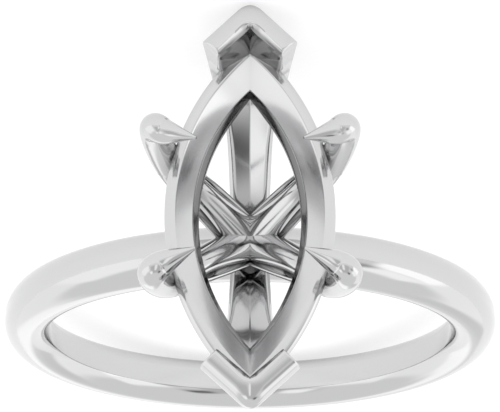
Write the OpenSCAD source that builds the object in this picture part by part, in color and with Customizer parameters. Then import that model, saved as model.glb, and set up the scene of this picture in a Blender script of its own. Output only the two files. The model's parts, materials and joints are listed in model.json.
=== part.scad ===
// Marquise solitaire ring mounting, lying on its side as it rests by itself.
// Everything is first drawn in the ring's own frame: the middle of the finger hole is at the
// origin, the finger goes along Y, and the head stands up along Z. The last step lays it down.

/* [Band] */
// Inside diameter of the band
finger_d = 17.3; // [16:0.1:18]
// Radius of the rounded edges of the band
band_round_r = 0.98; // [0.96:0.01:1.1]
// Width of the band between the middles of its two rounded edges
band_core_w = 0.24; // [0.1:0.02:0.6]
// Distance from the finger hole to the widest place of the band
band_core_lift = 0.915; // [0.7:0.005:0.95]

/* [Seat rail] */
// Height of the flat top of the rail above the middle of the ring
rail_top = 14.44; // [14.3:0.01:14.6]
// Height of the flat underside of the rail
rail_bottom = 13.11; // [13:0.01:13.3]
// Radius of the rounded outer edge of the rail
rail_round_r = 0.23; // [0.15:0.01:0.3]
// Half of the distance between the outermost places of the two long sides
rail_half_w = 3.21; // [3:0.01:3.3]
// Radius of the arc that each outermost place follows
rail_arc_r = 9.30; // [9:0.05:9.6]
// Width that the outer wall loses for each millimetre down from its outermost place
rail_taper = 0.38; // [0.32:0.02:0.5]
// Half of the length of the rail at its top, where the end prongs cover its tips
rail_half_l = 6.85; // [6.5:0.05:6.95]
// Half of the length of the rail at its underside
rail_foot_half_l = 5.85; // [5.5:0.05:6]

/* [Seat] */
// Half of the width of the seat at the top of its slope
crest_half_w = 2.83; // [2.7:0.01:2.9]
// Radius of the arc that the top of the slope follows
crest_arc_r = 8.63; // [8.4:0.01:8.9]
// Half of the width between the seat's inner edges
seat_half_w = 2.14; // [2:0.02:2.3]
// Depth of the seat's inner edges below the top of the rail
seat_drop = 0.58; // [0.5:0.01:0.7]
// Half of the width of the open window under the seat
window_half_w = 1.93; // [1.7:0.01:2]
// Radius of the arc of the window's edge
window_arc_r = 7.38; // [7:0.01:7.6]
// Depth of the window's straight edge below the top of the rail
window_drop = 1.08; // [1:0.01:1.2]

/* [Claws] */
// Height of the middle of the crossing arms above the middle of the ring
crossing_h = 11.12; // [11:0.01:11.3]
// Distance of a claw's outermost place from the plane across the middle of the finger hole
claw_out_y = 2.83; // [2.75:0.01:2.9]
// Distance of a claw's outermost place from the plane that halves the ring left and right
claw_out_x = 3.56; // [3.45:0.01:3.65]
// Height of the outermost place of a claw
claw_out_h = 15.6; // [15.4:0.05:15.8]
// Radius of a claw at its outermost place
claw_r = 0.56; // [0.5:0.01:0.6]
// Height of the claw tips
claw_tip_h = 16.54; // [16.4:0.02:16.7]

/* [End prongs] */
// Height of the widest place of an end prong
prong_wide_h = 15.53; // [15.4:0.01:15.7]
// Distance from the middle of the ring to the ridge of an end prong at its widest place
prong_reach = 7.89; // [7.8:0.01:8]
// Height of the top edge of an end prong
prong_top_h = 16.21; // [16.1:0.01:16.4]
// Distance from the middle of the ring to the corner of the top edge of an end prong
prong_top_reach = 6.94; // [6.9:0.01:7.05]

/* [Hidden] */
$fn = 96;

// Distance from the middle of the ring to the middle of the band's section
band_core_r = finger_d / 2 + band_core_lift;

// Each long side of the rail and of the seat turns about an axis beyond the other side
rail_axis_x = rail_arc_r - rail_half_w;
rail_core_r = rail_arc_r - rail_round_r;
rail_core_h = rail_top - rail_round_r;
rail_taper_angle = atan(rail_taper);
rail_tangent_r = rail_core_r + rail_round_r * cos(rail_taper_angle);
rail_tangent_h = rail_core_h - rail_round_r * sin(rail_taper_angle);
rail_foot_r = rail_tangent_r - rail_taper * (rail_tangent_h - rail_bottom);
crest_axis_x = crest_arc_r - crest_half_w;
seat_slope = (crest_half_w - seat_half_w) / seat_drop;
window_axis_x = window_arc_r - window_half_w;
window_edge_h = rail_top - window_drop;
window_slope = (seat_half_w - window_half_w) / (window_drop - seat_drop);
cut_margin = 0.6;

// The short post that joins the crossing arms to the band
post_r = 0.8;
post_foot_h = finger_d / 2 + 1.2;

// Stations along the middle line of one claw, from the crossing to the tip: x, y, height,
// half width and half height of the round top, half width and half height of the wider
// round body under it, and how far the middle of that body lies below the middle line
claw_stations = [
    [0, 0, crossing_h, 0.79, 0.49, 0.84, 0.20, 0.27],
    [1.57, 1.21, crossing_h + 1.29, 0.50, 0.38, 0.77, 0.28, 0.23],
    [claw_out_x - 0.53, claw_out_y - 0.48, crossing_h + 2.1, 0.60, 0.58, 0.605, 0.575, 0.01],
    [claw_out_x, claw_out_y, claw_out_h, claw_r, claw_r, claw_r + 0.005, claw_r - 0.005, 0.01],
    [claw_out_x - 0.47, claw_out_y - 0.29, claw_out_h + 0.49, 0.47, 0.47, 0.475, 0.465, 0.01],
    [claw_out_x - 1.58, claw_out_y - 0.69, claw_tip_h, 0.05, 0.05, 0.051, 0.049, 0.001]
];
claw_steps = 6;
claw_half_sides = 10;
crease_tries = 20;

// Sections of one end prong up to its widest place: height, reach of the inner corner,
// half width and set-back of the inner ends, reach of the ridge,
// half width and set-back of the outer ends, share of the arms that the ridge's round takes
prong_stations = [
    [10.20, 0.10, 0.60, 0.06, 1.20, 0.74, 0.65, 0.12],
    [10.80, 1.06, 0.64, 0.10, 2.15, 0.78, 0.78, 0.12],
    [12.30, 3.30, 0.72, 0.25, 4.65, 0.88, 1.10, 0.12],
    [13.10, 4.52, 0.85, 0.42, 6.15, 1.05, 1.40, 0.12],
    [13.50, 5.18, 0.95, 0.52, 6.88, 1.22, 1.73, 0.12],
    [13.90, 5.85, 1.06, 0.62, 7.24, 1.45, 1.68, 0.13],
    [14.40, 6.42, 1.13, 0.72, 7.56, 1.64, 1.44, 0.15],
    [prong_wide_h, 6.71, 1.18, 0.93, prong_reach, 1.81, 1.53, 0.20]
];
prong_steps = 3;

// The top edge of an end prong, the bevel inside it, and the rounded crown outside it
edge_half_w = 1.225;
edge_back = 1.085;
edge_end_drop = 0.10;
bevel_half_w = 1.19;
bevel_w = 0.133;
bevel_h = 0.271;
crown_steps = 8;
crown_end_angle = 80;
crown_fullness = 0.7;
crown_ridge_share = 0.34;
ridge_steps = 4;

// The ring lies on the ridge of one end prong and on the far side of its band
foot_y = prong_reach - band_core_w / 2;
foot_h = prong_wide_h + band_core_r;
rest_tilt = atan2(foot_y, foot_h) - asin(band_round_r / norm([foot_y, foot_h]));
rest_lift = prong_reach * cos(rest_tilt) - prong_wide_h * sin(rest_tilt);
head_extent = max([for (k = [0 : crown_steps])
    crown_reach(k) * sin(rest_tilt) + crown_height(k) * cos(rest_tilt)]);
band_extent = band_core_r * cos(rest_tilt) + band_core_w / 2 * sin(rest_tilt) + band_round_r;

function mix(a, b, share) = a + (b - a) * share;
function unit(v) = v / norm(v);
function place(station) = [station[0], station[1], station[2]];

// A smooth curve from b to c, with a and d as its neighbours
function curve_point(a, b, c, d, t) =
    (2 * b + (c - a) * t + (2 * a - 5 * b + 4 * c - d) * pow(t, 2)
    + (3 * b - a - 3 * c + d) * pow(t, 3)) / 2;

// Stations on a smooth line through the given ones, in so many steps from one to the next
function smooth_line(stations, steps) =
    let(
        last = len(stations) - 1,
        before = 2 * stations[0] - stations[1],
        beyond = 2 * stations[last] - stations[last - 1],
        knots = concat([before], stations, [beyond])
    )
    concat(
        [for (i = [1 : last], k = [0 : steps - 1])
            curve_point(knots[i - 1], knots[i], knots[i + 1], knots[i + 2], k / steps)],
        [stations[last]]
    );

// The crown's outline: shares of the way out from the top edge and up from the widest place
function crown_angle(k) = crown_end_angle * k / crown_steps;
function crown_out(k) =
    let(least = pow(cos(crown_end_angle), crown_fullness))
    (pow(cos(crown_angle(k)), crown_fullness) - least) / (1 - least);
function crown_up(k) = pow(sin(crown_angle(k)) / sin(crown_end_angle), crown_fullness);
function crown_reach(k) = mix(prong_top_reach, prong_reach, crown_out(k));
function crown_height(k) = mix(prong_wide_h, prong_top_h, crown_up(k));

// Place on the round body of a claw's section at an angle, and how far out it is from the round top
function body_place(s, angle) = [s[5] * cos(angle), s[6] * sin(angle) - s[7]];
function beyond_top(s, angle) =
    let(spot = body_place(s, angle))
    pow(spot[0] / s[3], 2) + pow(spot[1] / s[4], 2) - 1;

// The angle on the round body at which it meets the round top in a crease
function crease_angle(s, low = 0, high = 90, tries = crease_tries) =
    let(middle = (low + high) / 2)
    tries == 0 ? middle
    : beyond_top(s, middle) > 0 ? crease_angle(s, middle, high, tries - 1)
    : crease_angle(s, low, middle, tries - 1);

// A claw's section: over the round top from one crease to the other, then back round the body
function claw_section(s) =
    let(
        body_start = crease_angle(s),
        crease = body_place(s, body_start),
        top_start = atan2(crease[1] / s[4], crease[0] / s[3])
    )
    concat(
        [for (j = [0 : claw_half_sides - 1])
            let(angle = mix(top_start, 180 - top_start, j / claw_half_sides))
            [s[3] * cos(angle), s[4] * sin(angle)]],
        [for (j = [0 : claw_half_sides - 1])
            body_place(s, mix(180 - body_start, 360 + body_start, j / claw_half_sides))]
    );

// One ring of points square to the middle line at station i
function claw_ring(line, i) =
    let(
        before = place(line[max(i - 1, 0)]),
        after = place(line[min(i + 1, len(line) - 1)]),
        along = unit(after - before),
        across_all = unit([claw_out_y, -claw_out_x, 0]),
        across = unit(across_all - (across_all * along) * along),
        bendwise = cross(across, along)
    )
    [for (spot = claw_section(line[i])) place(line[i]) + spot[0] * across + spot[1] * bendwise];

// Inner and outer outline of an end prong at one level, from its left end to its right end
function prong_inner(reach, half_w, back, height, drop) =
    [for (i = [-ridge_steps - 1 : ridge_steps + 1])
        let(t = i / (ridge_steps + 1))
        [half_w * t, reach - back * abs(t), height - drop * abs(t)]];

function prong_outer(reach, half_w, back, share, height, drop) =
    let(
        end_y = reach - back,
        corner_y = (reach - end_y * share / 2) / (1 - share / 2)
    )
    concat(
        [[-half_w, end_y, height - drop]],
        [for (i = [-ridge_steps : ridge_steps])
            let(
                t = i / ridge_steps,
                from_corner = share * (1 + t * t) / 2
            )
            [half_w * share * t, mix(corner_y, end_y, from_corner), height - drop * share * abs(t)]],
        [[half_w, end_y, height - drop]]
    );

function prong_ring(inner, outer) =
    concat(outer, [for (i = [len(inner) - 1 : -1 : 0]) inner[i]]);

// The part of an end prong below its widest place
function prong_stem_ring(s) =
    prong_ring(prong_inner(s[1], s[2], s[3], s[0], 0), prong_outer(s[4], s[5], s[6], s[7], s[0], 0));

// The rounded crown, which rises from the widest place and closes in on the top edge
function prong_crown_ring(k) =
    let(
        wide = prong_stations[len(prong_stations) - 1],
        rise = k / crown_steps,
        out = crown_out(k),
        up = crown_up(k),
        end_y = mix(prong_top_reach - edge_back, wide[4] - wide[6], out)
    )
    prong_ring(
        prong_inner(
            mix(wide[1], prong_top_reach - bevel_w, rise),
            mix(wide[2], bevel_half_w, rise),
            mix(wide[3], edge_back, rise),
            mix(prong_wide_h, prong_top_h - bevel_h, rise),
            edge_end_drop * rise
        ),
        prong_outer(
            crown_reach(k),
            mix(edge_half_w, wide[5], out),
            crown_reach(k) - end_y,
            mix(wide[7], crown_ridge_share, up),
            crown_height(k),
            edge_end_drop * up
        )
    );

// Faces of a tube through rings that each have the same number of points
function tube_faces(rings, sides) =
    [for (i = [0 : rings - 2], j = [0 : sides - 1])
        let(
            a = i * sides + j,
            b = i * sides + (j + 1) % sides
        )
        [a, b, b + sides, a + sides]];

// Faces that close the two ends of a tube
function round_ends(rings, sides) = [
    [for (j = [sides - 1 : -1 : 0]) j],
    [for (j = [0 : sides - 1]) (rings - 1) * sides + j]
];

function folded_ends(rings, sides) =
    concat(
        [for (j = [0 : sides / 2 - 2]) [j + 1, j, sides - 1 - j, sides - 2 - j]],
        [for (j = [0 : sides / 2 - 2])
            let(top = (rings - 1) * sides)
            [top + j, top + j + 1, top + sides - 2 - j, top + sides - 1 - j]]
    );

function flat_list(rings) = [for (ring = rings) each ring];

module band_section() {
    intersection() {
        translate([band_core_r, 0]) {
            for (side = [-1, 1]) {
                translate([0, side * band_core_w / 2]) circle(r = band_round_r);
            }
            square([2 * band_round_r, band_core_w], center = true);
        }
        translate([finger_d / 2, -2 * band_round_r]) square(4 * band_round_r);
    }
}

module band() {
    color("gainsboro") rotate([90, 0, 0]) rotate_extrude() band_section();
}

module head_post() {
    color("gainsboro") translate([0, 0, post_foot_h])
        cylinder(r = post_r, h = crossing_h - post_foot_h);
}

// A round plate with a rounded rim, which is one long side of the rail
module rail_plate() {
    rotate_extrude() {
        polygon([
            [0, rail_bottom],
            [rail_foot_r, rail_bottom],
            [rail_tangent_r, rail_tangent_h],
            [rail_core_r, rail_core_h],
            [rail_core_r, rail_top],
            [0, rail_top]
        ]);
        translate([rail_core_r, rail_core_h]) circle(r = rail_round_r);
    }
}

// The length that the rail keeps, which is less at its underside than at its top
module rail_stretch() {
    rotate([90, 0, 90]) linear_extrude(2 * rail_arc_r, center = true) polygon([
        [-rail_foot_half_l, rail_bottom - cut_margin],
        [rail_foot_half_l, rail_bottom - cut_margin],
        [rail_foot_half_l, rail_bottom],
        [rail_half_l, rail_top],
        [rail_half_l, rail_top + cut_margin],
        [-rail_half_l, rail_top + cut_margin],
        [-rail_half_l, rail_top],
        [-rail_foot_half_l, rail_bottom]
    ]);
}

// A round cutter for the slope of the seat, which is one long side of the opening
module slope_cutter() {
    top_h = rail_top + cut_margin;
    rotate_extrude() polygon([
        [0, window_edge_h],
        [crest_arc_r - seat_slope * window_drop, window_edge_h],
        [crest_arc_r + seat_slope * cut_margin, top_h],
        [0, top_h]
    ]);
}

// A round cutter for the window under the seat, which is one long side of it
module window_cutter() {
    bottom_h = rail_bottom - cut_margin;
    rotate_extrude() polygon([
        [0, bottom_h],
        [window_arc_r, bottom_h],
        [window_arc_r, window_edge_h],
        [window_arc_r + window_slope * window_drop, rail_top],
        [0, rail_top]
    ]);
}

module seat_rail() {
    color("gainsboro") difference() {
        intersection() {
            translate([-rail_axis_x, 0, 0]) rail_plate();
            translate([rail_axis_x, 0, 0]) rail_plate();
            rail_stretch();
        }
        intersection() {
            translate([-crest_axis_x, 0, 0]) slope_cutter();
            translate([crest_axis_x, 0, 0]) slope_cutter();
        }
        intersection() {
            translate([-window_axis_x, 0, 0]) window_cutter();
            translate([window_axis_x, 0, 0]) window_cutter();
        }
    }
}

module claw() {
    line = smooth_line(claw_stations, claw_steps);
    rings = [for (i = [0 : len(line) - 1]) claw_ring(line, i)];
    sides = 2 * claw_half_sides;
    color("gainsboro") polyhedron(
        points = flat_list(rings),
        faces = concat(tube_faces(len(rings), sides), round_ends(len(rings), sides))
    );
}

module end_prong() {
    rings = concat(
        [for (section = smooth_line(prong_stations, prong_steps)) prong_stem_ring(section)],
        [for (k = [1 : crown_steps]) prong_crown_ring(k)]
    );
    sides = len(rings[0]);
    color("gainsboro") polyhedron(
        points = flat_list(rings),
        faces = concat(tube_faces(len(rings), sides), folded_ends(len(rings), sides))
    );
}

module laid_on_its_side() {
    translate([0, (head_extent - band_extent) / 2, rest_lift]) rotate([90 - rest_tilt, 0, 0]) children();
}

module ring_mounting() {
    laid_on_its_side() {
        band();
        head_post();
        seat_rail();
        for (along = [0, 1]) {
            mirror([0, along, 0]) end_prong();
            for (across = [0, 1]) {
                mirror([across, 0, 0]) mirror([0, along, 0]) claw();
            }
        }
    }
}

ring_mounting();
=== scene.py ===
"""Looks of the marquise solitaire ring mounting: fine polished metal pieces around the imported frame."""

import json
import math

import bmesh
import bpy
import numpy as np
from mathutils import Matrix, Vector


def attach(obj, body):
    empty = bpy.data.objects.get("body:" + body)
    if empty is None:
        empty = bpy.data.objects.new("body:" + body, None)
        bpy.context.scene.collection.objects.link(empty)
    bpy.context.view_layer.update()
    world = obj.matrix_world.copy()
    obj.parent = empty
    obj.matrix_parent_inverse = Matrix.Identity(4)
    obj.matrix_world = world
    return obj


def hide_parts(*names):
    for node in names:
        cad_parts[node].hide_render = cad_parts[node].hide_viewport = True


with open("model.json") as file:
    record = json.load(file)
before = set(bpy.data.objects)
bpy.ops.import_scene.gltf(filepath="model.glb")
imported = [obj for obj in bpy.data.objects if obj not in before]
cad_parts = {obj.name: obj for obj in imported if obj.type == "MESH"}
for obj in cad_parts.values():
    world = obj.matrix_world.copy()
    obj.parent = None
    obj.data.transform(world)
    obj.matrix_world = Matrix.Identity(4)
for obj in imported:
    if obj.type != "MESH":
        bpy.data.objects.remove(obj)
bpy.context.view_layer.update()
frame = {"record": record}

# Where the ring lies, read from the frame
MM = 0.001
NODE = "ring_mounting"
BODY = "root"
MOUNTS = {mount["name"]: mount for mount in frame["record"]["mounts"]}
HOLE = MOUNTS["finger_hole"]
RING_MIDDLE = Vector(HOLE["pos_m"])
FINGER_AXIS = Vector(HOLE["axis"]).normalized()
HEAD_AXIS = Vector(MOUNTS["stone_seat"]["axis"]).normalized()
SIDE_AXIS = FINGER_AXIS.cross(HEAD_AXIS)
TO_ROW = Matrix((SIDE_AXIS, FINGER_AXIS, HEAD_AXIS)).transposed()

# Sizes in millimetres in the ring's own frame: X across, Y along the finger, Z up through the head
HOLE_R = HOLE["dims"]["r_mm"]
BAND_ROUND_R = 0.98
BAND_CORE_W = 0.24
BAND_CORE_LIFT = 0.915

RAIL_TOP = 14.44
RAIL_BOTTOM = 13.11
RAIL_ROUND_R = 0.23
RAIL_HALF_W = 3.21
RAIL_ARC_R = 9.30
RAIL_TAPER = 0.38
RAIL_HALF_L = 6.85
RAIL_FOOT_HALF_L = 5.85
CREST_HALF_W = 2.83
CREST_ARC_R = 8.63
SEAT_HALF_W = 2.14
SEAT_DROP = 0.58
WINDOW_HALF_W = 1.93
WINDOW_ARC_R = 7.38
WINDOW_DROP = 1.08

CROSSING_H = 11.12
CLAW_OUT = (3.56, 2.83, 15.6)
CLAW_R = 0.56
CLAW_TIP_H = 16.54
POST_R = 0.8

PRONG_WIDE_H = 15.53
PRONG_REACH = 7.89
PRONG_TOP_H = 16.21
PRONG_TOP_REACH = 6.94

# How every piece's mesh is made: steps over a softened corner, and the points that these steps add
CORNER_STEPS = 4
CORNER_POINTS = CORNER_STEPS - 1
MERGE_DISTANCE = 0.0005
ROUND_SHARP_ANGLE = 40
FLAT_SHARP_ANGLE = 32

# How much painted shade a place gets, from 0 to 1, kept with the points of each mesh
PAINTED_SHADE = "painted_shade"


def laid_down(points):
    """Points in the ring's own frame and millimetres, as points of the row in metres."""
    return np.asarray(points, float) * MM @ np.array(TO_ROW.transposed()) + np.array(RING_MIDDLE)


def mix(a, b, share):
    return a + (b - a) * share


def curve_rows(knots, steps):
    """Rows on a smooth curve through the knots, whose first and last are only its neighbours."""
    knots = [np.asarray(knot, float) for knot in knots]
    rows = []
    for before, start, end, after in zip(knots, knots[1:], knots[2:], knots[3:]):
        for k in range(steps):
            t = k / steps
            rows.append(
                (
                    2 * start
                    + (end - before) * t
                    + (2 * before - 5 * start + 4 * end - after) * t**2
                    + (3 * start - before - 3 * end + after) * t**3
                )
                / 2
            )
    rows.append(knots[-2])
    return np.array(rows)


def extended(knots):
    """The knots with one more at each end, so that the curve goes through all of them."""
    knots = [np.asarray(knot, float) for knot in knots]
    return [2 * knots[0] - knots[1]] + knots + [2 * knots[-1] - knots[-2]]


def resampled(line, start_cut, end_cut, count):
    """A line as count points, without a short stretch at each end."""
    line = np.asarray(line, float)
    along = np.concatenate([[0], np.cumsum(np.linalg.norm(np.diff(line, axis=0), axis=1))])
    places = np.linspace(start_cut, along[-1] - end_cut, count)
    return np.stack([np.interp(places, along, line[:, axis]) for axis in range(line.shape[1])], axis=1)


def softened_loop(sides, counts, reaches):
    """A closed loop through sides that meet in corners. reaches has the cut at the start of each side."""
    trimmed = []
    for i, side in enumerate(sides):
        end_reach = reaches[(i + 1) % len(sides)]
        trimmed.append(resampled(side, reaches[i], end_reach, counts[i]))
    loop = []
    for i, side in enumerate(trimmed):
        loop.append(side)
        corner = np.asarray(sides[i][-1], float)
        start, end = side[-1], trimmed[(i + 1) % len(sides)][0]
        for k in range(1, CORNER_STEPS):
            t = k / CORNER_STEPS
            loop.append([(1 - t) ** 2 * start + 2 * t * (1 - t) * corner + t**2 * end])
    return np.concatenate(loop)


def grid_faces(rows, columns, closed_rows, closed_columns, offset=0):
    """Quads over a grid of points, which may close on itself either way."""
    faces = []
    for i in range(rows if closed_rows else rows - 1):
        for j in range(columns if closed_columns else columns - 1):
            a = i * columns + j
            b = i * columns + (j + 1) % columns
            c = (i + 1) % rows * columns + (j + 1) % columns
            d = (i + 1) % rows * columns + j
            faces.append([offset + a, offset + b, offset + c, offset + d])
    return faces


def add_piece(name, points, faces, sharp_angle, painted_shade=None):
    """A metal piece that rides on the ring's one body and stands for its one node.

    The last argument has a number for each point: how much painted shade that point gets.
    """
    shape = bmesh.new()
    for point in laid_down(points):
        shape.verts.new(point)
    if painted_shade is not None:
        layer = shape.verts.layers.float.new(PAINTED_SHADE)
        shape.verts.ensure_lookup_table()
        for vert, value in zip(shape.verts, painted_shade):
            vert[layer] = value
    shape.verts.ensure_lookup_table()
    for face in faces:
        shape.faces.new([shape.verts[i] for i in face])
    bmesh.ops.remove_doubles(shape, verts=shape.verts, dist=MERGE_DISTANCE * MM)
    bmesh.ops.recalc_face_normals(shape, faces=shape.faces)
    mesh = bpy.data.meshes.new(name)
    shape.to_mesh(mesh)
    shape.free()
    obj = bpy.data.objects.new(name, mesh)
    bpy.context.scene.collection.objects.link(obj)
    mesh.shade_smooth()
    mesh.set_sharp_from_angle(angle=math.radians(sharp_angle))
    mesh.materials.append(metal)
    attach(obj, BODY)
    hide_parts(NODE)
    return obj


# White gold with a high polish. Recesses that ambient occlusion finds closed in get painted shade, and the
# places marked in the mesh get a darker painted shade.
METAL_COLOR = (0.60, 0.60, 0.605, 1)
# Colour of the painted shade in recesses
RECESS_SHADE_COLOR = (0.34, 0.34, 0.34, 1)
# Colour of the painted shade at the marked places
PAINTED_SHADE_COLOR = (0.05, 0.05, 0.05, 1)
RECESS_REACH = 1.0
RECESS_SAMPLES = 4
RECESS_CLOSED = 0.15
RECESS_OPEN = 0.85
HAZE_SCALE = 900
HAZE_DETAIL = 4
HAZE_ROUGHNESS = (0.07, 0.13)


def polished_metal():
    """Metal with a trace of haze, of fine, uneven polishing marks, and painted shade in its recesses and
    at marked places.
    """
    material = bpy.data.materials.new("polished_metal")
    material.use_nodes = True
    nodes, links = material.node_tree.nodes, material.node_tree.links
    shader = nodes["Principled BSDF"]
    shader.inputs["Base Color"].default_value = METAL_COLOR
    shader.inputs["Metallic"].default_value = 1

    # Painted shade: the colour darkens where ambient occlusion finds the surface closed in, as in creases
    # and under the arms
    openness = nodes.new("ShaderNodeAmbientOcclusion")
    openness.samples = RECESS_SAMPLES
    openness.inputs["Distance"].default_value = RECESS_REACH * MM
    reached = nodes.new("ShaderNodeMapRange")
    reached.inputs["From Min"].default_value = RECESS_CLOSED
    reached.inputs["From Max"].default_value = RECESS_OPEN
    recess_shaded = nodes.new("ShaderNodeMix")
    recess_shaded.data_type = "RGBA"
    recess_shaded.inputs["A"].default_value = RECESS_SHADE_COLOR
    recess_shaded.inputs["B"].default_value = METAL_COLOR
    # Painted shade: the places marked in each mesh, on the window walls, claw creases and prongs' inner
    # walls, go nearly black
    shade_marked = nodes.new("ShaderNodeAttribute")
    shade_marked.attribute_name = PAINTED_SHADE
    color = nodes.new("ShaderNodeMix")
    color.data_type = "RGBA"
    color.inputs["B"].default_value = PAINTED_SHADE_COLOR
    links.new(openness.outputs["AO"], reached.inputs["Value"])
    links.new(reached.outputs["Result"], recess_shaded.inputs["Factor"])
    links.new(recess_shaded.outputs["Result"], color.inputs["A"])
    links.new(shade_marked.outputs["Fac"], color.inputs["Factor"])
    links.new(color.outputs["Result"], shader.inputs["Base Color"])

    place = nodes.new("ShaderNodeTexCoord")
    haze = nodes.new("ShaderNodeTexNoise")
    haze.inputs["Scale"].default_value = HAZE_SCALE
    haze.inputs["Detail"].default_value = HAZE_DETAIL
    roughness = nodes.new("ShaderNodeMapRange")
    roughness.inputs["To Min"].default_value = HAZE_ROUGHNESS[0]
    roughness.inputs["To Max"].default_value = HAZE_ROUGHNESS[1]
    links.new(place.outputs["Object"], haze.inputs["Vector"])
    links.new(haze.outputs["Fac"], roughness.inputs["Value"])
    links.new(roughness.outputs["Result"], shader.inputs["Roughness"])
    return material


metal = polished_metal()


# Band
BAND_TURNS = 360
BAND_EDGE_REACH = 0.03
BAND_ARC_POINTS = 60
BAND_COUNTS = [90, 6]


def arc(centre, radius, start, end, count):
    """Points on an arc in a section, with angles in degrees."""
    angles = np.radians(np.linspace(start, end, count))
    return np.stack([centre[0] + radius * np.cos(angles), centre[1] + radius * np.sin(angles)], axis=1)


def build_band():
    core_r = HOLE_R + BAND_CORE_LIFT
    meet = 180 - math.degrees(math.acos(BAND_CORE_LIFT / BAND_ROUND_R))
    side = BAND_CORE_W / 2
    upper = arc((core_r, side), BAND_ROUND_R, meet, 0, BAND_ARC_POINTS)
    lower = arc((core_r, -side), BAND_ROUND_R, 0, -meet, BAND_ARC_POINTS)
    outside = np.concatenate([upper, lower])
    inside = np.array([lower[-1], upper[0]])
    section = softened_loop([outside, inside], BAND_COUNTS, [BAND_EDGE_REACH, BAND_EDGE_REACH])
    turns = np.linspace(0, 2 * math.pi, BAND_TURNS, endpoint=False)[:, None]
    rho, y = section[:, 0][None], section[:, 1][None]
    points = np.stack([rho * np.cos(turns), y + 0 * turns, rho * np.sin(turns)], axis=2)
    faces = grid_faces(BAND_TURNS, len(section), True, True)
    return add_piece("band", points.reshape(-1, 3), faces, ROUND_SHARP_ANGLE)


# Seat rail
RAIL_STATIONS = 161
RAIL_CREST_REACH = 0.05
RAIL_FOOT_REACH = 0.05
RAIL_BEND_REACH = 0.04
TIP_PACKING = 0.25
EDGE_TRIES = 40
RAIL_ROUND_POINTS = 24
RAIL_WALL_POINTS = 12
RAIL_SLOPE_POINTS = 24

# Points on the outside, the underside, the window's lower wall, its upper wall and the seat's slope
OUTSIDE_COUNT, UNDER_COUNT, LOW_WALL_COUNT, HIGH_WALL_COUNT, SLOPE_COUNT = 70, 5, 4, 6, 18
LOW_WALL_START = OUTSIDE_COUNT + UNDER_COUNT + 2 * CORNER_POINTS
HIGH_WALL_START = LOW_WALL_START + LOW_WALL_COUNT + CORNER_POINTS
# Painted shade on the window's lower and upper walls under the seat
LOW_WALL_PAINTED_SHADE = 0.9
HIGH_WALL_PAINTED_SHADE = 0.75


def along_ray(start, step, axis_x, rho):
    """How far along a plan ray lies the place at distance rho from the axis at (axis_x, 0)."""
    rel = start - np.array([axis_x, 0.0])
    b = rel @ step
    return -b + np.sqrt(b * b - rel @ rel + rho * rho)


def on_arc(half_w, arc_r, share):
    """The place at a share of the way from the middle of a pointed oval's long side to its tip."""
    turn = share * math.acos((arc_r - half_w) / arc_r)
    return np.array([half_w - arc_r + arc_r * math.cos(turn), arc_r * math.sin(turn)])


def rail_section(share):
    """The rail's closed section at a share of its length, from -1 at one tip to 1 at the other."""
    outer_axis = RAIL_HALF_W - RAIL_ARC_R
    crest_axis = CREST_HALF_W - CREST_ARC_R
    inner_axis = WINDOW_HALF_W - WINDOW_ARC_R
    core_r, core_h = RAIL_ARC_R - RAIL_ROUND_R, RAIL_TOP - RAIL_ROUND_R
    window_edge_h = RAIL_TOP - WINDOW_DROP
    seat_slope = (CREST_HALF_W - SEAT_HALF_W) / SEAT_DROP
    window_slope = (SEAT_HALF_W - WINDOW_HALF_W) / (WINDOW_DROP - SEAT_DROP)
    start = on_arc(WINDOW_HALF_W, WINDOW_ARC_R, share)
    step = on_arc(RAIL_HALF_W, RAIL_ARC_R, share) - start
    step /= np.linalg.norm(step)

    def at(axis_x, rho, height):
        return np.array([*(start + step * along_ray(start, step, axis_x, rho)), height])

    def on_slope(height):
        return at(crest_axis, CREST_ARC_R - seat_slope * (RAIL_TOP - height), height)

    def on_wall(height):
        return at(inner_axis, WINDOW_ARC_R + window_slope * (height - window_edge_h), height)

    def on_round(angle):
        out, up = RAIL_ROUND_R * math.cos(angle), RAIL_ROUND_R * math.sin(angle)
        return at(outer_axis, core_r + out, core_h + up)

    low, high = window_edge_h, RAIL_TOP
    for _ in range(EDGE_TRIES):
        middle = (low + high) / 2
        if (on_slope(middle) - on_wall(middle))[:2] @ step < 0:
            low = middle
        else:
            high = middle
    seat_edge = on_slope(low)
    crest = on_slope(RAIL_TOP)
    taper_angle = math.atan(RAIL_TAPER)
    tangent_r = core_r + RAIL_ROUND_R * math.cos(taper_angle)
    tangent_h = core_h - RAIL_ROUND_R * math.sin(taper_angle)
    foot = at(outer_axis, tangent_r - RAIL_TAPER * (tangent_h - RAIL_BOTTOM), RAIL_BOTTOM)
    over = np.linspace(math.pi / 2, -taper_angle, RAIL_ROUND_POINTS)
    outside = [crest] + [on_round(angle) for angle in over] + [foot]
    bottom_in = at(inner_axis, WINDOW_ARC_R, RAIL_BOTTOM)
    window_edge = on_wall(window_edge_h)
    sides = [
        outside,
        [foot, bottom_in],
        [bottom_in, window_edge],
        [on_wall(mix(window_edge_h, seat_edge[2], t)) for t in np.linspace(0, 1, RAIL_WALL_POINTS)],
        [on_slope(mix(seat_edge[2], RAIL_TOP, t)) for t in np.linspace(0, 1, RAIL_SLOPE_POINTS)],
    ]
    counts = [OUTSIDE_COUNT, UNDER_COUNT, LOW_WALL_COUNT, HIGH_WALL_COUNT, SLOPE_COUNT]
    reaches = [RAIL_CREST_REACH, RAIL_FOOT_REACH, RAIL_FOOT_REACH, RAIL_BEND_REACH, RAIL_BEND_REACH]
    return softened_loop(sides, counts, reaches)


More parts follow.
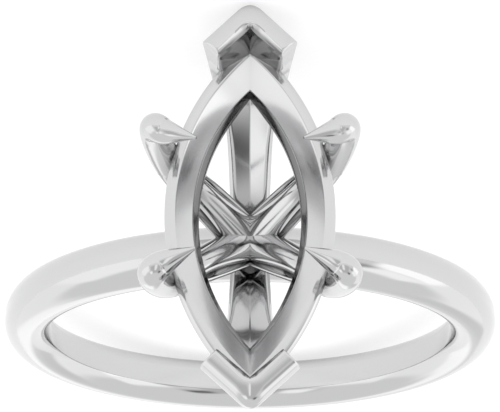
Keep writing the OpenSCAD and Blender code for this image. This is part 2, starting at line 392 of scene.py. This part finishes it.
def build_seat_rail():
    even = np.linspace(-1, 1, RAIL_STATIONS)
    shares = even + TIP_PACKING * np.sin(math.pi * even) / math.pi
    sections = np.array([rail_section(share) for share in shares])
    rise = (sections[:, :, 2] - RAIL_BOTTOM) / (RAIL_TOP - RAIL_BOTTOM)
    furthest = mix(RAIL_FOOT_HALF_L, RAIL_HALF_L, rise)
    sections[:, :, 1] = np.clip(sections[:, :, 1], -furthest, furthest)
    sections[[0, -1], :, 0] = 0
    columns = sections.shape[1]
    other = sections * np.array([-1, 1, 1])
    points = np.concatenate([sections.reshape(-1, 3), other.reshape(-1, 3)])
    faces = grid_faces(RAIL_STATIONS, columns, False, True)
    faces += [face[::-1] for face in grid_faces(RAIL_STATIONS, columns, False, True, len(points) // 2)]
    # Painted shade on the window's walls
    painted_shade = np.zeros(columns)
    painted_shade[LOW_WALL_START - 1:LOW_WALL_START + LOW_WALL_COUNT] = LOW_WALL_PAINTED_SHADE
    painted_shade[HIGH_WALL_START:HIGH_WALL_START + HIGH_WALL_COUNT] = HIGH_WALL_PAINTED_SHADE
    return add_piece("seat_rail", points, faces, FLAT_SHARP_ANGLE, np.tile(painted_shade, 2 * RAIL_STATIONS))


# Claws with their crossing arms
CLAW_STEPS = 20
CLAW_HALF_SIDES = 28
CREASE_TRIES = 30
# Painted shade along the two creases between each claw's round top and its body, full where the body lies
# deep enough below
CREASE_EDGE_PAINTED_SHADE = 0.5
CREASE_FULL_DROP = 0.15


def claw_stations():
    """The middle line of one claw, from the crossing to the tip.

    The columns are x, y, height, half width and half height of the round top, half width and half
    height of the wider round body under it, and how far the body's middle lies below the middle line.
    """
    out_x, out_y, out_h = CLAW_OUT
    return [
        [0, 0, CROSSING_H, 0.79, 0.49, 0.84, 0.20, 0.27],
        [1.57, 1.21, CROSSING_H + 1.29, 0.50, 0.38, 0.77, 0.28, 0.23],
        [out_x - 0.53, out_y - 0.48, CROSSING_H + 2.1, 0.60, 0.58, 0.605, 0.575, 0.01],
        [out_x, out_y, out_h, CLAW_R, CLAW_R, CLAW_R + 0.005, CLAW_R - 0.005, 0.01],
        [out_x - 0.47, out_y - 0.29, out_h + 0.49, 0.47, 0.47, 0.475, 0.465, 0.01],
        [out_x - 1.58, out_y - 0.69, CLAW_TIP_H, 0.05, 0.05, 0.051, 0.049, 0.001],
    ]


def claw_section(top_w, top_h, body_w, body_h, body_drop):
    """Over the round top from one crease to the other, then back round the body."""

    def on_body(angles):
        return np.stack([body_w * np.cos(angles), body_h * np.sin(angles) - body_drop], axis=-1)

    low, high = 0.0, math.pi / 2
    for _ in range(CREASE_TRIES):
        body_start = (low + high) / 2
        spot = on_body(body_start)
        if (spot[0] / top_w) ** 2 + (spot[1] / top_h) ** 2 > 1:
            low = body_start
        else:
            high = body_start
    top_start = math.atan2(spot[1] / top_h, spot[0] / top_w)
    over = np.linspace(top_start, math.pi - top_start, CLAW_HALF_SIDES, endpoint=False)
    under = np.linspace(math.pi - body_start, 2 * math.pi + body_start, CLAW_HALF_SIDES, endpoint=False)
    return np.concatenate([np.stack([top_w * np.cos(over), top_h * np.sin(over)], axis=1), on_body(under)])


def build_claw(name, side, end):
    """One claw. side and end are 1 or -1, and mirror it left to right and end to end."""
    line = curve_rows(extended(claw_stations()), CLAW_STEPS)
    across_all = np.array([CLAW_OUT[1], -CLAW_OUT[0], 0.0])
    across_all /= np.linalg.norm(across_all)
    sides = 2 * CLAW_HALF_SIDES
    # Painted shade on the crease columns and their neighbours
    crease = np.zeros(sides)
    crease[[0, CLAW_HALF_SIDES]] = 1
    crease[[1, -1, CLAW_HALF_SIDES - 1, CLAW_HALF_SIDES + 1]] = CREASE_EDGE_PAINTED_SHADE
    rings = []
    painted_shade = []
    for i, row in enumerate(line):
        along = line[min(i + 1, len(line) - 1)][:3] - line[max(i - 1, 0)][:3]
        along /= np.linalg.norm(along)
        across = across_all - (across_all @ along) * along
        across /= np.linalg.norm(across)
        bendwise = np.cross(across, along)
        section = claw_section(*row[3:])
        rings.append(row[:3] + section[:, :1] * across + section[:, 1:] * bendwise)
        painted_shade.append(crease * np.clip(row[-1] / CREASE_FULL_DROP, 0, 1))
    points = np.concatenate(rings) * np.array([side, end, 1])
    faces = grid_faces(len(rings), sides, False, True)
    faces.append(list(range(sides)))
    faces.append([(len(rings) - 1) * sides + j for j in range(sides)])
    return add_piece(name, points, faces, ROUND_SHARP_ANGLE, np.concatenate(painted_shade))


# End prongs
PRONG_STEPS = 8
CROWN_STEPS = 24
CROWN_END_ANGLE = 80
CROWN_FULLNESS = 0.7
CROWN_RIDGE_SHARE = 0.34
EDGE_HALF_W = 1.225
EDGE_BACK = 1.085
EDGE_END_DROP = 0.10
BEVEL_HALF_W = 1.19
BEVEL_W = 0.133
BEVEL_H = 0.271
BEVEL_STEPS = 5
BEVEL_ROUND_ROWS = 1
INNER_END_REACH = 0.14
OUTER_END_REACH = 0.07
OUTER_COLUMNS = 81
INNER_COLUMNS = 41
END_COLUMNS = 5
RIDGE_COLUMNS = 16
ARM_COLUMNS = 5
INNER_START = OUTER_COLUMNS + END_COLUMNS + 2 * CORNER_POINTS
INNER_END_MOST = 0.4
OUTER_END_MOST = 0.3
# Painted shade on the prong's inner wall, fading in above the rail
INSIDE_PAINTED_SHADE = 0.5
INSIDE_FADE_START = RAIL_TOP - 0.6
INSIDE_FADE_H = 0.3

# Height, reach of the inner corner, half width and set-back of the inner ends,
# reach of the ridge, half width and set-back of the outer ends, share that the ridge's round takes
PRONG_STATIONS = [
    [10.20, 0.10, 0.60, 0.06, 1.20, 0.74, 0.65, 0.12],
    [10.80, 1.06, 0.64, 0.10, 2.15, 0.78, 0.78, 0.12],
    [12.30, 3.30, 0.72, 0.25, 4.65, 0.88, 1.10, 0.12],
    [13.10, 4.52, 0.85, 0.42, 6.15, 1.05, 1.40, 0.12],
    [13.50, 5.18, 0.95, 0.52, 6.88, 1.22, 1.73, 0.12],
    [13.90, 5.85, 1.06, 0.62, 7.24, 1.45, 1.68, 0.13],
    [14.40, 6.42, 1.13, 0.72, 7.56, 1.64, 1.44, 0.15],
    [PRONG_WIDE_H, 6.71, 1.18, 0.93, PRONG_REACH, 1.81, 1.53, 0.20],
]


def v_columns():
    """Places along a V from its left end to its right end, close together at the ridge's round."""
    inside = np.linspace(-1, 1, 2 * RIDGE_COLUMNS + 1)
    arm = np.linspace(1, 2, ARM_COLUMNS + 1)[1:]
    return np.concatenate([-arm[::-1], inside, arm])


def v_inner(reach, half_w, back, height, drop, share):
    """A sharp V at one level. Columns from -1 to 1 take the same share of it as the ridge's round."""
    t = v_columns()
    u = np.sign(t) * np.where(abs(t) <= 1, abs(t) * share, share + (abs(t) - 1) * (1 - share))
    return np.stack([half_w * u, reach - back * abs(u), height - drop * abs(u)], axis=1)


def v_outer(reach, half_w, back, height, drop, share):
    """A V at one level whose ridge is rounded."""
    t = v_columns()
    end_y = reach - back
    corner_y = (reach - end_y * share / 2) / (1 - share / 2)
    u = np.sign(t) * np.where(abs(t) <= 1, abs(t) * share, share + (abs(t) - 1) * (1 - share))
    from_corner = np.where(abs(t) <= 1, share * (1 + t * t) / 2, abs(u))
    return np.stack([half_w * u, mix(corner_y, end_y, from_corner), height - drop * abs(u)], axis=1)


def rounded_rows(rows, corner, reach):
    """Rows whose corner row is eased over reach rows on each side."""
    rows = rows.copy()
    start, middle, end = rows[corner - reach], rows[corner].copy(), rows[corner + reach]
    for k in range(1, 2 * reach):
        t = k / (2 * reach)
        rows[corner - reach + k] = (1 - t) ** 2 * start + 2 * t * (1 - t) * middle + t**2 * end
    return rows


def prong_loop(outer, inner):
    """One closed level of the prong, with eased corners at both ends of the V."""
    end_w = np.linalg.norm(outer[-1] - inner[-1])
    inner_reach = min(INNER_END_REACH, end_w * INNER_END_MOST)
    outer_reach = min(OUTER_END_REACH, end_w * OUTER_END_MOST)
    sides = [outer, [outer[-1], inner[-1]], inner[::-1], [inner[0], outer[0]]]
    counts = [OUTER_COLUMNS, END_COLUMNS, INNER_COLUMNS, END_COLUMNS]
    return softened_loop(sides, counts, [outer_reach, outer_reach, inner_reach, inner_reach])


def build_end_prong(name, end):
    """The V-shaped prong over one point of the seat. end is 1 or -1."""
    stem = curve_rows(extended(PRONG_STATIONS), PRONG_STEPS)
    wide = PRONG_STATIONS[-1]
    outer = [v_outer(s[4], s[5], s[6], s[0], 0, s[7]) for s in stem]
    inner = [v_inner(s[1], s[2], s[3], s[0], 0, s[7]) for s in stem]
    least = math.cos(math.radians(CROWN_END_ANGLE)) ** CROWN_FULLNESS
    most = math.sin(math.radians(CROWN_END_ANGLE)) ** CROWN_FULLNESS
    for k in range(1, CROWN_STEPS + 1):
        angle = math.radians(CROWN_END_ANGLE * k / CROWN_STEPS)
        out = (math.cos(angle) ** CROWN_FULLNESS - least) / (1 - least)
        up = math.sin(angle) ** CROWN_FULLNESS / most
        rise = k / CROWN_STEPS
        ridge_y = mix(PRONG_TOP_REACH, PRONG_REACH, out)
        end_y = mix(PRONG_TOP_REACH - EDGE_BACK, wide[4] - wide[6], out)
        outer.append(
            v_outer(
                ridge_y,
                mix(EDGE_HALF_W, wide[5], out),
                ridge_y - end_y,
                mix(PRONG_WIDE_H, PRONG_TOP_H, up),
                EDGE_END_DROP * up,
                mix(wide[7], CROWN_RIDGE_SHARE, up),
            )
        )
        inner.append(
            v_inner(
                mix(wide[1], PRONG_TOP_REACH - BEVEL_W, rise),
                mix(wide[2], BEVEL_HALF_W, rise),
                mix(wide[3], EDGE_BACK, rise),
                mix(PRONG_WIDE_H, PRONG_TOP_H - BEVEL_H, rise),
                EDGE_END_DROP * rise,
                mix(wide[7], CROWN_RIDGE_SHARE, rise),
            )
        )
    bevel = [mix(outer[-1], inner[-1], k / (BEVEL_STEPS + 1)) for k in range(1, BEVEL_STEPS + 1)]
    rows = np.array(outer + bevel + inner[::-1])
    rows = rounded_rows(rows, len(outer) - 1, BEVEL_ROUND_ROWS)
    rows = rounded_rows(rows, len(outer) + BEVEL_STEPS, BEVEL_ROUND_ROWS)
    levels = [prong_loop(rows[k], rows[-1 - k]) for k in range(len(rows) // 2)]
    columns = len(levels[0])
    points = np.concatenate(levels) * np.array([1, end, 1])
    faces = grid_faces(len(levels), columns, False, True)
    faces.append(list(range(columns)))
    faces += cap_faces((len(levels) - 1) * columns)
    # Painted shade on the inner wall, over the levels above the rail
    inside = np.zeros(columns)
    inside[INNER_START:INNER_START + INNER_COLUMNS] = INSIDE_PAINTED_SHADE
    heights = np.array([level[0, 2] for level in levels])
    above_rail = np.clip((heights - INSIDE_FADE_START) / INSIDE_FADE_H, 0, 1)
    return add_piece(name, points, faces, FLAT_SHARP_ANGLE, np.outer(above_rail, inside).ravel())


def cap_faces(first):
    """Faces that close the prong's last level, between its outer row and its inner row."""
    outer = [first + j for j in range(OUTER_COLUMNS)]
    inner_start = first + INNER_START
    inner = [inner_start + j for j in range(INNER_COLUMNS)][::-1]
    faces = []
    for j in range(INNER_COLUMNS - 1):
        faces.append([outer[2 * j], outer[2 * j + 1], outer[2 * j + 2], inner[j + 1], inner[j]])
    last = inner_start + INNER_COLUMNS + END_COLUMNS + 2 * CORNER_POINTS
    faces.append(list(range(outer[-1], inner_start + 1)))
    faces.append(list(range(inner[0], last)) + [first])
    return faces


# Post between the band and the crossing arms
POST_FOOT_H = HOLE_R + 1.2
POST_LEVELS = 12
POST_SIDES = 64


def build_head_post():
    heights = np.linspace(POST_FOOT_H, CROSSING_H, POST_LEVELS)
    turns = np.linspace(0, 2 * math.pi, POST_SIDES, endpoint=False)
    rings = [
        np.stack([POST_R * np.cos(turns), POST_R * np.sin(turns), 0 * turns + h], axis=1) for h in heights
    ]
    faces = grid_faces(POST_LEVELS, POST_SIDES, False, True)
    faces.append(list(range(POST_SIDES)))
    faces.append([(POST_LEVELS - 1) * POST_SIDES + j for j in range(POST_SIDES)])
    return add_piece("head_post", np.concatenate(rings), faces, ROUND_SHARP_ANGLE)


build_band()
build_seat_rail()
for side, side_name in ((-1, "left"), (1, "right")):
    for end, end_name in ((-1, "low"), (1, "high")):
        build_claw(f"claw_{side_name}_{end_name}", side, end)
for end, end_name in ((-1, "low"), (1, "high")):
    build_end_prong(f"end_prong_{end_name}", end)
build_head_post()


# Floor, light and camera
FLOOR_HALF = 1.5
FLOOR_COLOR = (0.38, 0.38, 0.38, 1)
FLOOR_ROUGHNESS = 0.7
FLOOR_SPECULAR = 0.1
FLOOR_GLOW = 0.66
WHITE = (1, 1, 1, 1)


def build_floor():
    mesh = bpy.data.meshes.new("floor")
    corners = [(-FLOOR_HALF, -FLOOR_HALF, 0), (FLOOR_HALF, -FLOOR_HALF, 0)]
    corners += [(FLOOR_HALF, FLOOR_HALF, 0), (-FLOOR_HALF, FLOOR_HALF, 0)]
    mesh.from_pydata(corners, [], [(0, 1, 2, 3)])
    floor = bpy.data.objects.new("floor", mesh)
    bpy.context.scene.collection.objects.link(floor)
    material = bpy.data.materials.new("pale_floor")
    material.use_nodes = True
    shader = material.node_tree.nodes["Principled BSDF"]
    shader.inputs["Base Color"].default_value = FLOOR_COLOR
    shader.inputs["Roughness"].default_value = FLOOR_ROUGHNESS
    shader.inputs["Specular IOR Level"].default_value = FLOOR_SPECULAR
    shader.inputs["Emission Color"].default_value = WHITE
    shader.inputs["Emission Strength"].default_value = FLOOR_GLOW
    mesh.materials.append(material)


# Studio panels around the ring. Each row has the azimuth of the middle, half the width, the lowest and
# highest elevation and the softness of the edges in degrees, and then the brightness. Azimuth turns from
# +X towards +Y, and the camera stands at -90. A later row covers an earlier one.
BACKDROP = 0.97
PANELS = [
    [24, 44, -30, 28, 10, 1.24],
    [78, 14, -30, 22, 10, 1.44],
    [112, 11, -30, 26, 10, 0.9],
    [148, 28, -30, 28, 12, 1.28],
    [-18, 26, -30, 36, 10, 1.36],
    [-170, 20, -30, 22, 8, 1.62],
    [-170, 20, 22, 42, 10, 1.42],
    [-90, 62, 44, 62, 14, 0.85],
    [-95, 38, -20, 12, 12, 1.06],
    [-90, 36, 12, 62, 14, 0.70],
    [-144, 10, 18, 30, 14, 0.45],
    [-136, 12, 51, 62, 12, 0.12],
    [-50, 13, 44, 62, 10, 1.40],
    [-88, 8, 12, 46, 8, 1.27],
]


def build_world():
    world = bpy.data.worlds.new("studio")
    world.use_nodes = True
    nodes, links = world.node_tree.nodes, world.node_tree.links

    def calculate(operation, *values):
        node = nodes.new("ShaderNodeMath")
        node.operation = operation
        for socket, value in zip(node.inputs, values):
            if isinstance(value, (int, float)):
                socket.default_value = value
            else:
                links.new(value, socket)
        return node.outputs[0]

    def edge(value, dark_at, bright_at):
        node = nodes.new("ShaderNodeMapRange")
        node.interpolation_type = "SMOOTHSTEP"
        node.inputs["From Min"].default_value = math.radians(dark_at)
        node.inputs["From Max"].default_value = math.radians(bright_at)
        links.new(value, node.inputs["Value"])
        return node.outputs["Result"]

    place = nodes.new("ShaderNodeTexCoord")
    split = nodes.new("ShaderNodeSeparateXYZ")
    links.new(place.outputs["Generated"], split.inputs["Vector"])
    x, y, z = split.outputs
    elevation = calculate("ARCSINE", z)
    brightness = BACKDROP
    for azimuth, half_w, low, high, softness, strength in PANELS:
        cos_a, sin_a = math.cos(math.radians(azimuth)), math.sin(math.radians(azimuth))
        ahead = calculate("ADD", calculate("MULTIPLY", x, cos_a), calculate("MULTIPLY", y, sin_a))
        aside = calculate("SUBTRACT", calculate("MULTIPLY", y, cos_a), calculate("MULTIPLY", x, sin_a))
        turn = calculate("ABSOLUTE", calculate("ARCTAN2", aside, ahead))
        across = edge(turn, half_w + softness / 2, half_w - softness / 2)
        above = edge(elevation, low - softness / 2, low + softness / 2)
        below = edge(elevation, high + softness / 2, high - softness / 2)
        cover = calculate("MULTIPLY", across, calculate("MULTIPLY", above, below))
        kept = calculate("MULTIPLY", brightness, calculate("SUBTRACT", 1.0, cover))
        brightness = calculate("ADD", kept, calculate("MULTIPLY", cover, strength))
    background = nodes["Background"]
    background.inputs["Color"].default_value = WHITE
    links.new(brightness, background.inputs["Strength"])
    bpy.context.scene.world = world


# A wide lamp overhead that lights the floor. It isn't seen in the polish.
LAMP_HEIGHT = 0.9
LAMP_WIDTH = 0.9
LAMP_POWER = 3.0


def build_lamp():
    data = bpy.data.lights.new("overhead", "AREA")
    data.shape = "DISK"
    data.size = LAMP_WIDTH
    data.energy = LAMP_POWER
    lamp = bpy.data.objects.new("overhead", data)
    lamp.location = (0, 0, LAMP_HEIGHT)
    lamp.visible_glossy = False
    lamp.visible_camera = False
    bpy.context.scene.collection.objects.link(lamp)


# The camera is found from the photo. In the ring's own frame it stands CAMERA_D away at CAMERA_RISE
# above the finger axis and looks down by CAMERA_LOOK; in the scene it is the mirror image of that,
# above the floor and turned over, and it sees the same picture, because the ring's halves are alike.
CAMERA_D = 100.0
CAMERA_RISE = 72.9186
CAMERA_LOOK = 69.9544
FOCAL_PIXELS = 2312.01
IMAGE_WIDTH = 500
SENSOR_WIDTH = 36.0
NEAREST_SEEN = 0.005
FURTHEST_SEEN = 10


def build_camera():
    data = bpy.data.cameras.new("camera")
    data.sensor_width = SENSOR_WIDTH
    data.lens = FOCAL_PIXELS / IMAGE_WIDTH * SENSOR_WIDTH
    data.clip_start = NEAREST_SEEN
    data.clip_end = FURTHEST_SEEN
    camera = bpy.data.objects.new("camera", data)
    bpy.context.scene.collection.objects.link(camera)
    rise, look = math.radians(CAMERA_RISE), math.radians(CAMERA_LOOK)
    place = laid_down([(0, CAMERA_D * math.cos(rise), CAMERA_D * math.sin(rise))])[0]
    right = -SIDE_AXIS
    up = -math.sin(look) * FINGER_AXIS + math.cos(look) * HEAD_AXIS
    back = right.cross(up)
    turn = Matrix((right, up, back)).transposed().to_4x4()
    camera.matrix_world = Matrix.Translation(Vector(place)) @ turn
    bpy.context.scene.camera = camera


build_floor()
build_world()
build_lamp()
build_camera()
bpy.context.scene.view_settings.view_transform = "Standard"
